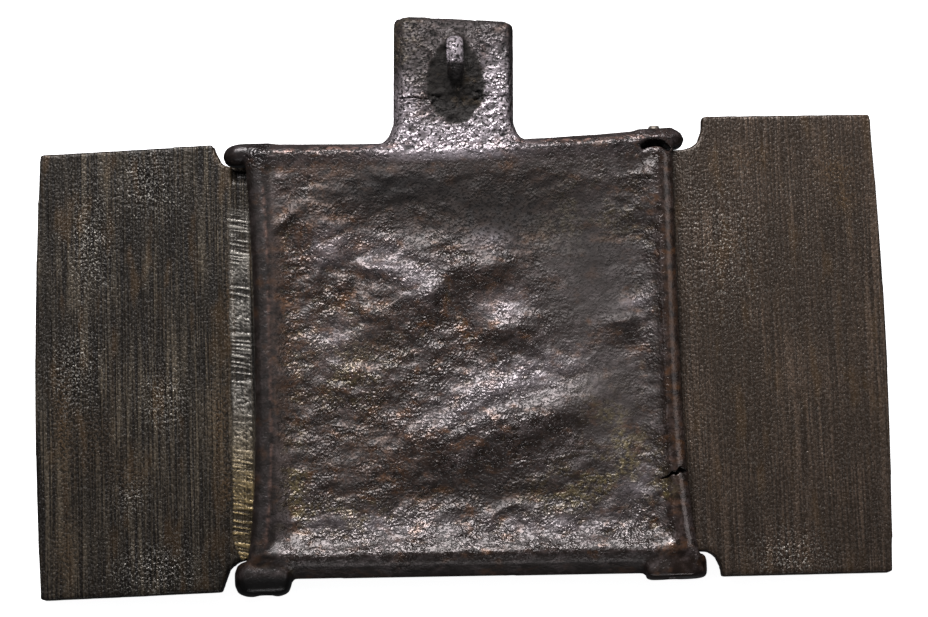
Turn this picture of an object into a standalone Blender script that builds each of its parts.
"""A small folding icon of cast copper alloy: a centre panel and two wings on wire hinge pins.

It lies face down with both wings open, so its plain backs look up. The wings hang in their
knuckles until their outer edges touch the surface below. +Y runs to the hanging tab and +Z to
the back. Sizes are in millimetres and become metres where a mesh is made.
"""

import math
from collections import namedtuple

import bmesh
import bpy
from mathutils import Vector

MM = 0.001

# The hinges
AXIS_HEIGHT = 2.3  # the pins' centre lines above the surface that the lugs rest on
LEFT_AXIS = 28.85  # from the panel's middle line
RIGHT_AXIS = 27.4
PIN_RADIUS = 0.8
PIN_CLEARANCE = 0.3  # between a pin and the holes that it passes
BARREL_RADIUS = 2.2
RUNNING_GAP = 0.3  # between a barrel and the lugs and cover round it
FRONT_OFFSET = 0.25  # the leaves' front planes above the axes, so that closed leaves clear
COVER_FOOT = 2.5  # the lowest edge of the panel's hinge covers, above the axes
COVER_GAP = 1.0  # between the upper right lug and the domed end of its cover
COVER_DOME = 2.9  # the radius of that end
COVER_ARCH = 0.9  # how far the gap's middle arches up into the lug
COVER_SHIFT = 0.3  # its middle from the hinge's axis, towards the panel's middle

# The centre panel
PANEL_WIDTH = 59.2
PANEL_HEIGHT = 61.0
PANEL_THICKNESS = 4.1  # from the front plane to the crest of the rims
FIELD_DEPTH = 1.15  # the back's field below the crest
SIDE_FLARE_FOOT = 1.8  # how far each side spreads towards its lower corner
LEFT_FLARE_TOP = 1.0
RIGHT_FLARE_TOP = 0.2
TOP_RISE_LEFT = 0.6  # the top edge climbs from its middle to each corner
TOP_RISE_RIGHT = 1.1
FOOT_RISE = 0.15  # the foot's left end above the height that sizes count from
FOOT_DROP = 0.95  # the foot's right end below its left end
FRONT_SIDE_BORDER = 6.4
FRONT_BORDER = 4.6
FRONT_RECESS = 1.0
FRONT_SLOPE = 0.8

# A rim of the panel: the height of its upright wall over the front plane, the run of its outer
# shoulder up to the crest, and the run of its inner slope down to the field
Rim = namedtuple("Rim", "wall shoulder slope")
SIDE_RIM = Rim(2.95, 2.0, 2.8)
TOP_RIM = Rim(1.5, 1.7, 5.2)
FOOT_RIM = Rim(0.9, 2.8, 4.4)

# The tab above the panel, with the hanging loop on its back
TAB_WIDTH = 16.9
TAB_HEIGHT = 18.1  # above the panel's top edge
TAB_OFFSET = -1.0  # its middle line from the panel's
TAB_LEAN = 0.03  # sideways for each millimetre up
TAB_TOP_FALL = 1.3  # its right corner below its left
TAB_OVERLAP = 3.0  # how far its back runs down over the panel's top rim
TAB_BACK = 3.85  # the height of its back over the front plane
TAB_FLARE = 1.5  # how far it spreads where it meets the panel
TAB_FLARE_RUN = 2.6
TAB_CORNER = 0.9
TAB_LEFT_DRAFT = 1.6  # the run of its sloped left side
TAB_RIGHT_DRAFT = 0.7
PATCH_RADIUS_X = 4.3  # the rough patch of metal that the loop grew out of
PATCH_RADIUS_Y = 5.9
PATCH_HEIGHT = 0.7
LOOP_WIDTH = 2.7
LOOP_WALL = 1.9
LOOP_LENGTH = 7.2
LOOP_RISE = 4.2  # the top of the loop over the tab's back
LOOP_FROM_TOP = 7.0  # its middle below the tab's top edge
LOOP_OFFSET = 0.3  # its middle line from the tab's

# The corner lugs that hold the pins
LEFT_TOP_LUG_REACH = 4.8  # beyond the axis
LEFT_FOOT_LUG_REACH = 4.2
RIGHT_TOP_LUG_REACH = 4.2
RIGHT_FOOT_LUG_REACH = 4.8
LUG_INNER = 3.7  # from the axis into the panel
LUG_BACK = 6.1  # its back above the resting surface
LUG_ROUND = 2.6
LEFT_TOP_LUG_DEPTH = 3.0
RIGHT_TOP_LUG_DEPTH = 2.75
FOOT_LUG_DEPTH = 2.6
LEFT_FOOT_LUG_EXTRA = 2.3  # the lower left lug stands out past the foot
RIGHT_FOOT_LUG_EXTRA = 0.7
TOP_LUG_EXTRA = -0.1
LUG_EDGE = 0.7  # the rounding of their edges
WORN_LUG_EDGE = 1.6  # on all but the lower right lug
PIN_STAND_OUT = 0.8  # the right pin's top end past its lug
PIN_SUNK = 0.7  # the pins' lower ends inside their holes

# The wings
WING_THICKNESS = 2.45
LEFT_REACH = 31.5  # from the axis to the outer edge
RIGHT_REACH = 31.15
WING_FOOT_DROP = 1.4  # below the panel's foot
LEFT_WING_TOP = 61.5  # above the panel's foot
RIGHT_WING_TOP = 63.4
LEFT_WING_TILT = 0.25  # the left wing's outer end hangs this much lower
EDGE_BOW = 0.8  # the outer edge's bulge at its middle
LEFT_EDGE_LEAN = 0.45  # the outer edge's foot further out than its top
RIGHT_EDGE_LEAN = -0.2
LEFT_NOTCH_WALL = 5.7  # from the axis to the notches' sides
RIGHT_NOTCH_WALL = 6.5
LEFT_TOP_NOTCH = 2.8  # the radius of each notch's inner corner
LEFT_FOOT_NOTCH = 4.2
RIGHT_TOP_NOTCH = 2.9
RIGHT_FOOT_NOTCH = 2.3
NOTCH_GAP = 0.3  # from a lug's inner face to the notch's floor
LEFT_FILED_WIDTH = 2.9  # the filed strip beside the panel
RIGHT_FILED_WIDTH = 2.2
FILED_DEPTH = 0.75
WING_BORDER = 3.0
WING_RECESS = 0.9
WING_ROOT = 0.6  # where the plate starts inside its barrel, from the axis

# How finely the leaves' faces are divided
PANEL_COLUMNS = 34
PANEL_ROWS = 34
WING_COLUMNS = 22
WING_ROWS = 42
ROUND_SIDES = 24

FRONT_PLANE = AXIS_HEIGHT + FRONT_OFFSET
CREST = FRONT_PLANE + PANEL_THICKNESS
HOLE_RADIUS = PIN_RADIUS + PIN_CLEARANCE
CHANNEL_RADIUS = BARREL_RADIUS + RUNNING_GAP

# Soft swellings on the panel's back, where the front's relief shows through the cast metal: the
# place from the panel's middle, two radii, a turn in degrees and a height
Swelling = namedtuple("Swelling", "x y across along turn height")
SWELLINGS = (
    Swelling(3.3, 14.6, 5.4, 4.6, 20, 0.75),
    Swelling(-21.5, 15.5, 4.2, 6.0, -20, 0.45),
    Swelling(-11.0, 8.5, 6.0, 3.4, 28, 0.5),
    Swelling(22.0, 4.6, 3.4, 2.3, 0, 0.55),
    Swelling(-15.0, -1.5, 7.5, 4.0, -12, 0.4),
    Swelling(6.5, -8.8, 8.5, 3.6, 8, 0.5),
    Swelling(-5.0, -17.5, 7.0, 4.6, 0, -0.4),
    Swelling(14.0, -16.0, 6.0, 5.0, 0, 0.35),
    Swelling(-20.0, -18.5, 5.0, 6.5, 15, 0.35),
    Swelling(13.0, 19.0, 6.0, 4.0, -15, -0.45),
    Swelling(-8.0, 20.0, 7.0, 3.2, 5, -0.4),
    Swelling(1.0, 2.5, 5.0, 3.0, 40, -0.35),
)


def clear_scene():
    for obj in list(bpy.data.objects):
        bpy.data.objects.remove(obj, do_unlink=True)


def smooth(value):
    """0 to 1 with level ends."""
    value = min(max(value, 0.0), 1.0)
    return value * value * (3.0 - 2.0 * value)


def metal(name, colour, roughness):
    """A patinated copper alloy."""
    material = bpy.data.materials.new(name)
    material.use_nodes = True
    shader = material.node_tree.nodes["Principled BSDF"]
    shader.inputs["Base Color"].default_value = (*colour, 1.0)
    shader.inputs["Metallic"].default_value = 0.8
    shader.inputs["Roughness"].default_value = roughness
    return material


def mesh_object(name, shape, material=None):
    """An object from a bmesh whose points are in millimetres."""
    bmesh.ops.recalc_face_normals(shape, faces=shape.faces)
    bmesh.ops.scale(shape, vec=(MM, MM, MM), verts=shape.verts)
    mesh = bpy.data.meshes.new(name)
    shape.to_mesh(mesh)
    shape.free()
    obj = bpy.data.objects.new(name, mesh)
    bpy.context.scene.collection.objects.link(obj)
    if material:
        mesh.materials.append(material)
    return obj


def helper(obj):
    """Keeps a cutter or an added form out of the render."""
    obj.hide_render = True
    obj.display_type = "WIRE"
    return obj


def combine(obj, operation, other):
    modifier = obj.modifiers.new(f"{operation.title()} {other.name}", "BOOLEAN")
    modifier.operation = operation
    modifier.object = helper(other)
    other.parent = obj


def cylinder(name, radius, start, end, x=0.0, z=0.0, sides=ROUND_SIDES):
    """A closed cylinder along Y from start to end."""
    shape = bmesh.new()
    rings = []
    for y in (start, end):
        angles = (2.0 * math.pi * side / sides for side in range(sides))
        rings.append([shape.verts.new((x + radius * math.cos(a), y, z + radius * math.sin(a))) for a in angles])
    bmesh.ops.bridge_loops(shape, edges=ring_edges(shape, rings))
    for ring in rings:
        shape.faces.new(ring)
    return mesh_object(name, shape)


def ring_edges(shape, rings):
    return [shape.edges.new((ring[i - 1], ring[i])) for ring in rings for i in range(len(ring))]


def prism(name, outline, start, end):
    """A closed outline in X and Z, drawn along Y from start to end."""
    shape = bmesh.new()
    lower = [shape.verts.new((x, start, z)) for x, z in outline]
    upper = [shape.verts.new((x, end, z)) for x, z in outline]
    shape.faces.new(lower)
    shape.faces.new(upper)
    for i in range(len(outline)):
        shape.faces.new((lower[i - 1], lower[i], upper[i], upper[i - 1]))
    return mesh_object(name, shape)


def stations(length, low_steps, high_steps, count):
    """Places along an edge: exact steps near both ends and even ones between, count spaces in all."""
    spaces = count - len(low_steps) - len(high_steps) + 2
    low, high = low_steps[-1], length - high_steps[-1]
    between = [low + (high - low) * i / spaces for i in range(1, spaces)]
    return [*low_steps, *between, *(length - step for step in reversed(high_steps))]


def leaf(name, back, front, material=None, plain_back=False):
    """A plate from two grids of points with the same count of columns and rows.

    A plain back has one long face to a column, because it is straight from end to end.
    """
    columns, rows = len(front) - 1, len(front[0]) - 1
    shape = bmesh.new()
    edge = {(i, j) for i in range(columns + 1) for j in range(rows + 1) if i in (0, columns) or j in (0, rows)}
    fronts = {(i, j): shape.verts.new(front[i][j]) for i in range(columns + 1) for j in range(rows + 1)}
    used = edge if plain_back else fronts
    backs = {place: shape.verts.new(back[place[0]][place[1]]) for place in used}
    for i in range(columns):
        for j in range(rows):
            corners = ((i, j), (i + 1, j), (i + 1, j + 1), (i, j + 1))
            shape.faces.new([fronts[place] for place in reversed(corners)])
            if not plain_back:
                shape.faces.new([backs[place] for place in corners])
        if plain_back:
            right = [(i + 1, j) for j in (range(rows + 1) if i + 1 == columns else (0, rows))]
            left = [(i, j) for j in (range(rows, -1, -1) if i == 0 else (rows, 0))]
            shape.faces.new([backs[place] for place in right + left])
    around = [(i, 0) for i in range(columns)] + [(columns, j) for j in range(rows)]
    around += [(i, rows) for i in range(columns, 0, -1)] + [(0, j) for j in range(rows, 0, -1)]
    for k, place in enumerate(around):
        before = around[k - 1]
        shape.faces.new((fronts[before], fronts[place], backs[place], backs[before]))
    return mesh_object(name, shape, material)


def robe_width(rise):
    """Half the width of a robed figure at a share of its height, as a share of its height."""
    shoulders = 0.165 * math.sqrt(max(0.0, 1.0 - max(0.0, (rise - 0.60) / 0.17) ** 2))
    return shoulders if rise > 0.60 else 0.165 + 0.035 * smooth((0.60 - rise) / 0.60)


def figure(x, y, height):
    """How far a standing haloed figure rises at a place from its feet, as a share of the relief."""
    across, rise = x / height, y / height
    halo = math.hypot(across, rise - 0.86)
    relief = 0.35 if halo < 0.145 else 0.0
    relief = max(relief, 0.6 * (1.0 - abs(halo - 0.14) / 0.02))
    head = math.hypot(across / 0.062, (rise - 0.865) / 0.088)
    if head < 1.0:
        relief = max(relief, 0.45 + 0.55 * math.sqrt(1.0 - head * head))
    if 0.0 < rise < 0.77:
        width = robe_width(rise)
        if abs(across) < width:
            swell = math.sqrt(1.0 - (across / width) ** 2)
            folds = 0.12 * math.cos(across * 95.0 + 5.0 * rise) * smooth((0.52 - rise) / 0.3)
            relief = max(relief, 0.25 + 0.5 * swell + folds)
    book = max(abs(across - 0.05) / 0.055, abs(rise - 0.55) / 0.07)
    if book < 1.0:
        relief = max(relief, 0.95)
    return min(max(relief, 0.0), 1.0)


def panel_relief(x, y):
    """The three figures on the centre panel's front, from the field's lower middle."""
    height = PANEL_HEIGHT - 2.0 * (FRONT_BORDER + FRONT_SLOPE) - 3.0
    side = height * 0.8
    spread = height * 0.33
    return max(
        figure(x, y - 1.5, height),
        figure(x + spread, y - 1.5, side),
        figure(spread - x, y - 1.5, side),
    )


def cross(x, y, size):
    """A plain cross with widening arms, from its middle."""
    near, far = sorted((abs(x), abs(y)))
    return 1.0 if far < size and near < size * (0.16 + 0.14 * far / size) else 0.0


def panel_left(y):
    rise = y / PANEL_HEIGHT * 2.0 - 1.0
    flare = LEFT_FLARE_TOP if rise > 0.0 else SIDE_FLARE_FOOT
    return -PANEL_WIDTH / 2.0 - flare * abs(rise) ** 3


def panel_right(y):
    rise = y / PANEL_HEIGHT * 2.0 - 1.0
    flare = RIGHT_FLARE_TOP if rise > 0.0 else SIDE_FLARE_FOOT
    return PANEL_WIDTH / 2.0 + flare * abs(rise) ** 3


def panel_foot(x):
    return FOOT_RISE - FOOT_DROP * (0.5 + x / PANEL_WIDTH)


def panel_top(x):
    side = x / PANEL_WIDTH * 2.0
    return PANEL_HEIGHT + (TOP_RISE_RIGHT if side > 0.0 else TOP_RISE_LEFT) * abs(side) ** 2.6


def panel_point(p, q, height):
    """The point p across and q up the panel's nominal rectangle, at a height."""
    across, up = p / PANEL_WIDTH, q / PANEL_HEIGHT
    nominal = p - PANEL_WIDTH / 2.0
    x = panel_left(q) + (panel_right(q) - panel_left(q)) * across
    y = panel_foot(nominal) + (panel_top(nominal) - panel_foot(nominal)) * up
    return Vector((x, y, height))


def swelling_height(x, y):
    """The sum of the soft swellings at a place from the panel's middle."""
    total = 0.0
    for form in SWELLINGS:
        turn = math.radians(form.turn)
        dx, dy = x - form.x, y - form.y
        along = (dx * math.cos(turn) + dy * math.sin(turn)) / form.across
        aside = (dy * math.cos(turn) - dx * math.sin(turn)) / form.along
        total += form.height * math.exp(-(along * along + aside * aside))
    return total


def panel_back_height(p, q):
    """The back of the panel: rounded rims round a shallow, uneven field."""
    sides = ((p, SIDE_RIM), (PANEL_WIDTH - p, SIDE_RIM), (q, FOOT_RIM), (PANEL_HEIGHT - q, TOP_RIM))
    ridge = max(1.0 - smooth((distance - rim.shoulder) / rim.slope) for distance, rim in sides)
    lumps = swelling_height(p - PANEL_WIDTH / 2.0, q - PANEL_HEIGHT / 2.0)
    height = CREST - FIELD_DEPTH * (1.0 - ridge) + lumps * (1.0 - ridge)
    for distance, rim in sides:
        if distance < rim.shoulder:
            wall = FRONT_PLANE + rim.wall
            rounded = math.sin(math.pi / 2.0 * distance / rim.shoulder)
            height = min(height, wall + (CREST - wall) * rounded)
    return height


def panel_front_height(p, q):
    """The front of the panel: a flat border round a sunk field with its relief."""
    inside = min(
        min(p, PANEL_WIDTH - p) - FRONT_SIDE_BORDER,
        min(q, PANEL_HEIGHT - q) - FRONT_BORDER,
    )
    sunk = min(max(inside / FRONT_SLOPE, 0.0), 1.0)
    x = p - PANEL_WIDTH / 2.0
    y = q - FRONT_BORDER - FRONT_SLOPE
    relief = panel_relief(x, y) if sunk == 1.0 else 0.0
    return FRONT_PLANE + FRONT_RECESS * sunk * (1.0 - 0.95 * relief)


def panel_plate(material):
    """The panel's plate, before its lugs and tab are joined to it."""

    def back_steps(rim):
        return [0.0, rim.shoulder * 0.22, rim.shoulder * 0.55, rim.shoulder, rim.shoulder + rim.slope / 2.0]

    def front_steps(border):
        return [0.0, border, border + FRONT_SLOPE]

    back_columns = stations(PANEL_WIDTH, back_steps(SIDE_RIM), back_steps(SIDE_RIM), PANEL_COLUMNS)
    back_rows = stations(PANEL_HEIGHT, back_steps(FOOT_RIM), back_steps(TOP_RIM), PANEL_ROWS)
    sides = front_steps(FRONT_SIDE_BORDER)
    ends = front_steps(FRONT_BORDER)
    front_columns = stations(PANEL_WIDTH, sides, sides, PANEL_COLUMNS)
    front_rows = stations(PANEL_HEIGHT, ends, ends, PANEL_ROWS)
    back = [[panel_point(p, q, panel_back_height(p, q)) for q in back_rows] for p in back_columns]
    front = [[panel_point(p, q, panel_front_height(p, q)) for q in front_rows] for p in front_columns]
    return leaf("centre_panel", back, front, material)


def tab():
    """The tab above the panel, widening where it meets the top rim."""
    start = PANEL_HEIGHT - TAB_OVERLAP
    length = TAB_HEIGHT + TAB_OVERLAP
    loop_height = TAB_HEIGHT - LOOP_FROM_TOP + TAB_OVERLAP
    loop_place = TAB_WIDTH / 2.0 + LOOP_OFFSET
    columns = stations(TAB_WIDTH, [0.0, TAB_LEFT_DRAFT / 2.0, TAB_LEFT_DRAFT], [0.0, TAB_RIGHT_DRAFT], 12)
    flare_steps = [0.0, TAB_OVERLAP, TAB_OVERLAP + TAB_FLARE_RUN / 3.0, TAB_OVERLAP + TAB_FLARE_RUN]
    rows = stations(length, flare_steps, [0.0, TAB_CORNER * 0.2, TAB_CORNER * 0.5, TAB_CORNER], 15)

    def outline(p, q):
        side = p / TAB_WIDTH * 2.0 - 1.0
        spread = TAB_FLARE * (1.0 - min(max((q - TAB_OVERLAP) / TAB_FLARE_RUN, 0.0), 1.0)) ** 2
        down = length - q
        drawn_in = TAB_CORNER - math.sqrt(max(0.0, TAB_CORNER**2 - max(0.0, TAB_CORNER - down) ** 2))
        half = TAB_WIDTH / 2.0 + spread - drawn_in * (1.0 if side < 0.0 else 0.5)
        x = TAB_OFFSET + side * half + TAB_LEAN * (q - TAB_OVERLAP)
        fall = TAB_TOP_FALL * (side + 1.0) / 2.0 * q / length
        return x, start + q - fall

    def back_height(p, q):
        draft = min(1.0, p / TAB_LEFT_DRAFT, (TAB_WIDTH - p) / TAB_RIGHT_DRAFT)
        rounded = math.sin(math.pi / 2.0 * draft)
        crown = 1.0 - smooth(1.0 - (length - q) / 1.2)
        patch = math.hypot((p - loop_place) / PATCH_RADIUS_X, (q - loop_height) / PATCH_RADIUS_Y)
        lump = PATCH_HEIGHT * (1.0 - smooth((patch - 0.6) / 0.4))
        return FRONT_PLANE + TAB_BACK * (0.45 + 0.55 * rounded) * (0.75 + 0.25 * crown) + lump

    def front_height(p, q):
        size = TAB_WIDTH * 0.36
        rises = cross(p - TAB_WIDTH / 2.0, q - TAB_OVERLAP - TAB_HEIGHT * 0.52, size)
        edge = min(p, TAB_WIDTH - p, length - q, q - TAB_OVERLAP)
        return FRONT_PLANE + 0.6 * (1.0 - rises) * smooth((edge - 0.8) / 0.8)

    back = [[Vector((*outline(p, q), back_height(p, q))) for q in rows] for p in columns]
    front = [[Vector((*outline(p, q), front_height(p, q))) for q in rows] for p in columns]
    return leaf("tab", back, front)


def loop():
    """The hanging loop, an arch across the eye, rooted in the tab's back."""
    steps, sides = 14, 8
    middle_y = PANEL_HEIGHT + TAB_HEIGHT - LOOP_FROM_TOP
    middle_x = TAB_OFFSET + LOOP_OFFSET + TAB_LEAN * (TAB_HEIGHT - LOOP_FROM_TOP)
    base = FRONT_PLANE + TAB_BACK
    half, rise = (LOOP_LENGTH - LOOP_WALL) / 2.0, LOOP_RISE - LOOP_WALL / 2.0
    shape = bmesh.new()
    rings = []
    for step in range(-1, steps + 2):
        turn = math.pi * min(max(step / steps, 0.0), 1.0)
        sunk = 1.2 if step in (-1, steps + 1) else 0.0
        centre = Vector((middle_x, middle_y - half * math.cos(turn), base - sunk + rise * math.sin(turn)))
        outward = Vector((0.0, -math.cos(turn), math.sin(turn)))
        ring = []
        for side in range(sides):
            angle = 2.0 * math.pi * (side + 0.5) / sides
            aside = Vector((LOOP_WIDTH / 2.0 * math.cos(angle), 0.0, 0.0))
            ring.append(shape.verts.new(centre + aside + outward * (LOOP_WALL / 2.0 * math.sin(angle))))
        rings.append(ring)
    for lower, upper in zip(rings, rings[1:]):
        for side in range(sides):
            shape.faces.new((lower[side - 1], lower[side], upper[side], upper[side - 1]))
    shape.faces.new(rings[0])
    shape.faces.new(rings[-1])
    return mesh_object("loop", shape)


def lug_outline(axis, outward, reach):
    """A lug's section: flat below, rounded at its outer end, sloping up into the rim."""
    points = [(axis - outward * LUG_INNER, 0.0)]
    below = reach - LUG_ROUND
    for step in range(5):
        angle = math.radians(-90.0 + 22.5 * step)
        x = below + LUG_ROUND * math.cos(angle)
        points.append((axis + outward * x, LUG_ROUND + LUG_ROUND * math.sin(angle)))
    for step in range(1, 5):
        angle = math.radians(22.5 * step)
        x = below + LUG_ROUND * math.cos(angle)
        points.append((axis + outward * x, LUG_ROUND + (LUG_BACK - LUG_ROUND) * math.sin(angle)))
    points.append((axis - outward * LUG_INNER, LUG_BACK))
    return points


def lug(side, end, axis, outward, span):
    """One corner lug with softened edges."""
    reach, edge = {
        ("left", "top"): (LEFT_TOP_LUG_REACH, WORN_LUG_EDGE),
        ("left", "foot"): (LEFT_FOOT_LUG_REACH, WORN_LUG_EDGE),
        ("right", "top"): (RIGHT_TOP_LUG_REACH, WORN_LUG_EDGE),
        ("right", "foot"): (RIGHT_FOOT_LUG_REACH, LUG_EDGE),
    }[side, end]
    form = prism(f"{side}_{end}_lug", lug_outline(axis, outward, reach), *span)
    bevel = form.modifiers.new("Cast edges", "BEVEL")
    bevel.width = edge * MM
    bevel.segments = 2
    bevel.limit_method = "ANGLE"
    bevel.angle_limit = math.radians(40.0)
    return form


def crescent(name, x, y):
    """The gap over a cover's domed end: a crescent in X and Y whose highest point is at (x, y)."""
    steps = 10
    spread = [math.radians(90.0 + 74.0 * (1.0 - 2.0 * step / steps)) for step in range(steps + 1)]
    middle = y - COVER_DOME
    outer = [(x + COVER_DOME * math.cos(a), middle + COVER_DOME * math.sin(a)) for a in spread]
    inner = [(px, max(py - COVER_GAP, middle + COVER_DOME * math.sin(spread[0]) - 0.3)) for px, py in outer]
    shape = bmesh.new()
    outline = outer + inner[::-1]
    lower = [shape.verts.new((px, py, AXIS_HEIGHT)) for px, py in outline]
    upper = [shape.verts.new((px, py, 2.0 * CREST)) for px, py in outline]
    shape.faces.new(lower)
    shape.faces.new(upper)
    for i in range(len(outline)):
        shape.faces.new((lower[i - 1], lower[i], upper[i], upper[i - 1]))
    return mesh_object(name, shape)


def lug_spans():
    """Each lug's reach in Y: its side, then its lower and upper end."""
    corner_top = {"left": panel_top(-LEFT_AXIS), "right": panel_top(RIGHT_AXIS)}
    corner_foot = {"left": panel_foot(-LEFT_AXIS), "right": panel_foot(RIGHT_AXIS)}
    extra = {"left": LEFT_FOOT_LUG_EXTRA, "right": RIGHT_FOOT_LUG_EXTRA}
    depth = {"left": LEFT_TOP_LUG_DEPTH, "right": RIGHT_TOP_LUG_DEPTH}
    spans = {}
    for side in ("left", "right"):
        upper = corner_top[side] + TOP_LUG_EXTRA
        spans[side] = {
            "top": (upper - depth[side], upper),
            "foot": (corner_foot[side] - extra[side], corner_foot[side] + FOOT_LUG_DEPTH),
        }
    return spans


def centre_panel(material):
    """The centre casting: plate, tab, loop and lugs, with its hinge channels and pin holes."""
    body = panel_plate(material)
    combine(body, "UNION", tab())
    combine(body, "UNION", loop())
    for side, axis, outward in (("left", -LEFT_AXIS, -1.0), ("right", RIGHT_AXIS, 1.0)):
        spans = lug_spans()[side]
        for end, span in spans.items():
            combine(body, "UNION", lug(side, end, axis, outward, span))
        low, high = spans["foot"][1], spans["top"][0]
        channel = cylinder(f"{side}_channel", CHANNEL_RADIUS, low, high, axis, AXIS_HEIGHT)
        combine(body, "DIFFERENCE", channel)
        foot = AXIS_HEIGHT + COVER_FOOT
        beyond = axis + outward * PANEL_WIDTH / 4.0
        below = [(axis, -foot), (beyond, -foot), (beyond, foot), (axis, foot)]
        combine(body, "DIFFERENCE", prism(f"{side}_cover_foot", below, low, high))
        hole = cylinder(f"{side}_hole", HOLE_RADIUS, -PANEL_HEIGHT, 2.0 * PANEL_HEIGHT, axis, AXIS_HEIGHT, 16)
        combine(body, "DIFFERENCE", hole)
    arch = lug_spans()["right"]["top"][0] + COVER_ARCH
    combine(body, "DIFFERENCE", crescent("cover_gap", RIGHT_AXIS - COVER_SHIFT, arch))
    return body


def wing_relief(s, y, wall, reach, low, high):
    """The single figure on a wing's front."""
    height = high - low - 2.0 * WING_BORDER - 4.0
    middle = (wall + reach - WING_BORDER) / 2.0
    return figure(s - middle, y - low - WING_BORDER - 2.0, height)


def wing(side, material):
    """A wing: its plate, notched round the lugs and filed beside the panel, and its barrel."""
    left = side == "left"
    outward = -1.0 if left else 1.0
    reach = LEFT_REACH if left else RIGHT_REACH
    filed = LEFT_FILED_WIDTH if left else RIGHT_FILED_WIDTH
    top = LEFT_WING_TOP if left else RIGHT_WING_TOP
    tilt = LEFT_WING_TILT if left else 0.0
    lean = LEFT_EDGE_LEAN if left else RIGHT_EDGE_LEAN
    wall = LEFT_NOTCH_WALL if left else RIGHT_NOTCH_WALL
    foot_round = LEFT_FOOT_NOTCH if left else RIGHT_FOOT_NOTCH
    top_round = LEFT_TOP_NOTCH if left else RIGHT_TOP_NOTCH
    cover = PANEL_WIDTH / 2.0 - (LEFT_AXIS if left else RIGHT_AXIS)
    spans = lug_spans()[side]
    floor_low = spans["foot"][1] + NOTCH_GAP
    floor_high = spans["top"][0] - NOTCH_GAP
    filed_start = cover + RUNNING_GAP
    filed_end = filed_start + filed

    def notch(s, radius):
        """How far a notch's rounded inner corner rises from its floor at s, short of its wall."""
        near = max(0.0, radius - (wall - s))
        return radius - math.sqrt(radius**2 - near**2)

    def low_edge(s):
        plain = -WING_FOOT_DROP - tilt * s / reach
        return plain if s > wall else max(plain, floor_low - notch(s, foot_round))

    def high_edge(s):
        plain = top - tilt * s / reach
        return plain if s > wall else min(plain, floor_high + notch(s, top_round))

    def point(s, share, height):
        outer = smooth((s - wall) / (reach - wall))
        drawn_in = EDGE_BOW * (2.0 * share - 1.0) ** 2 + lean * (share - 0.5)
        x = s - outer * drawn_in
        return Vector((outward * x, low_edge(s) + (high_edge(s) - low_edge(s)) * share, height))

    def back_height(s):
        full = FRONT_OFFSET + WING_THICKNESS
        return full - FILED_DEPTH * (1.0 - min(max((s - filed_start) / filed, 0.0), 1.0))

    def front_height(s, share):
        inside = min(s - wall, reach - WING_BORDER - s)
        ends = (high_edge(s) - low_edge(s)) * min(share, 1.0 - share) - WING_BORDER
        sunk = smooth(min(inside, ends) / 0.9)
        y = low_edge(s) + (high_edge(s) - low_edge(s)) * share
        relief = wing_relief(s, y, wall, reach, low_edge(reach), high_edge(reach))
        return FRONT_OFFSET + WING_RECESS * sunk * (1.0 - 0.95 * relief)

    corner = [wall - max(foot_round, top_round) * part for part in (1.0, 0.6, 0.25, 0.0)]
    root = sorted({WING_ROOT, filed_start, filed_end, *corner, wall + 0.1})
    columns = stations(reach, root, [0.0, WING_BORDER, WING_BORDER + 0.9], WING_COLUMNS)
    border_share = WING_BORDER / (top + WING_FOOT_DROP)
    ends = [0.0, border_share, border_share * 1.3]
    shares = stations(1.0, ends, ends, WING_ROWS)
    back = [[point(s, share, back_height(s)) for share in shares] for s in columns]
    front = [[point(s, share, front_height(s, share)) for share in shares] for s in columns]
    body = leaf(f"{side}_wing", back, front, material, plain_back=True)
    start, stop = spans["foot"][1] + RUNNING_GAP, spans["top"][0] - RUNNING_GAP
    combine(body, "UNION", cylinder(f"{side}_barrel", BARREL_RADIUS, start, stop))
    combine(body, "DIFFERENCE", cylinder(f"{side}_bore", HOLE_RADIUS, -PANEL_HEIGHT, 2.0 * PANEL_HEIGHT, sides=16))
    return body


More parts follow.
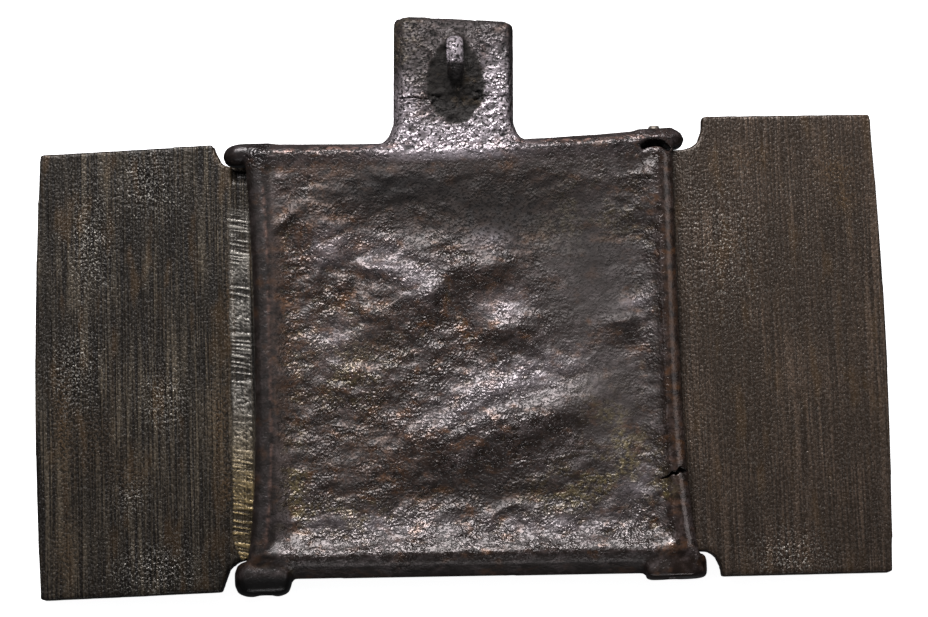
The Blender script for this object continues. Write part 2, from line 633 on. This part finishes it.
def hinge_pin(side, material):
    """A wire pin through both lugs and the barrel."""
    spans = lug_spans()[side]
    start = spans["foot"][0] + PIN_SUNK
    stop = spans["top"][1] + (PIN_STAND_OUT if side == "right" else -PIN_SUNK)
    pin = cylinder(f"{side}_hinge_pin", PIN_RADIUS, start, stop, sides=12)
    pin.data.materials.append(material)
    return pin


def hanging_angle(reach):
    """How far a wing turns down before its outer edge meets the resting surface."""
    return math.asin(AXIS_HEIGHT / math.hypot(reach, FRONT_OFFSET)) + math.atan2(FRONT_OFFSET, reach)


def axis_empty(name, parent, x, turn):
    """An empty on a hinge axis, which carries what turns about it."""
    empty = bpy.data.objects.new(name, None)
    bpy.context.scene.collection.objects.link(empty)
    empty.parent = parent
    empty.location = (x * MM, 0.0, AXIS_HEIGHT * MM)
    empty.rotation_euler = (0.0, turn, 0.0)
    return empty


def frame_empty():
    """The empty that carries the icon, with the middle of the whole below it."""
    left = -LEFT_AXIS - LEFT_REACH * math.cos(hanging_angle(LEFT_REACH))
    right = RIGHT_AXIS + RIGHT_REACH * math.cos(hanging_angle(RIGHT_REACH))
    low = lug_spans()["left"]["foot"][0]
    high = PANEL_HEIGHT + TAB_HEIGHT
    empty = bpy.data.objects.new("icon", None)
    bpy.context.scene.collection.objects.link(empty)
    empty.location = (-(left + right) / 2.0 * MM, -(low + high) / 2.0 * MM, 0.0)
    return empty


def shade(obj):
    obj.data.shade_smooth()
    obj.data.set_sharp_from_angle(angle=math.radians(35.0))


def main():
    clear_scene()
    icon = frame_empty()
    panel = centre_panel(metal("patinated_panel", (0.060, 0.045, 0.036), 0.38))
    panel.parent = icon
    shade(panel)
    for side, axis, reach, outward in (
        ("left", -LEFT_AXIS, LEFT_REACH, -1.0),
        ("right", RIGHT_AXIS, RIGHT_REACH, 1.0),
    ):
        hinge = axis_empty(f"{side}_hinge", icon, axis, outward * hanging_angle(reach))
        leaf_wing = wing(side, metal(f"patinated_{side}_wing", (0.040, 0.034, 0.026), 0.55))
        leaf_wing.parent = hinge
        shade(leaf_wing)
        line = axis_empty(f"{side}_pin_line", icon, axis, 0.0)
        pin = hinge_pin(side, metal(f"{side}_pin_wire", (0.050, 0.045, 0.040), 0.5))
        pin.parent = line
        shade(pin)


main()
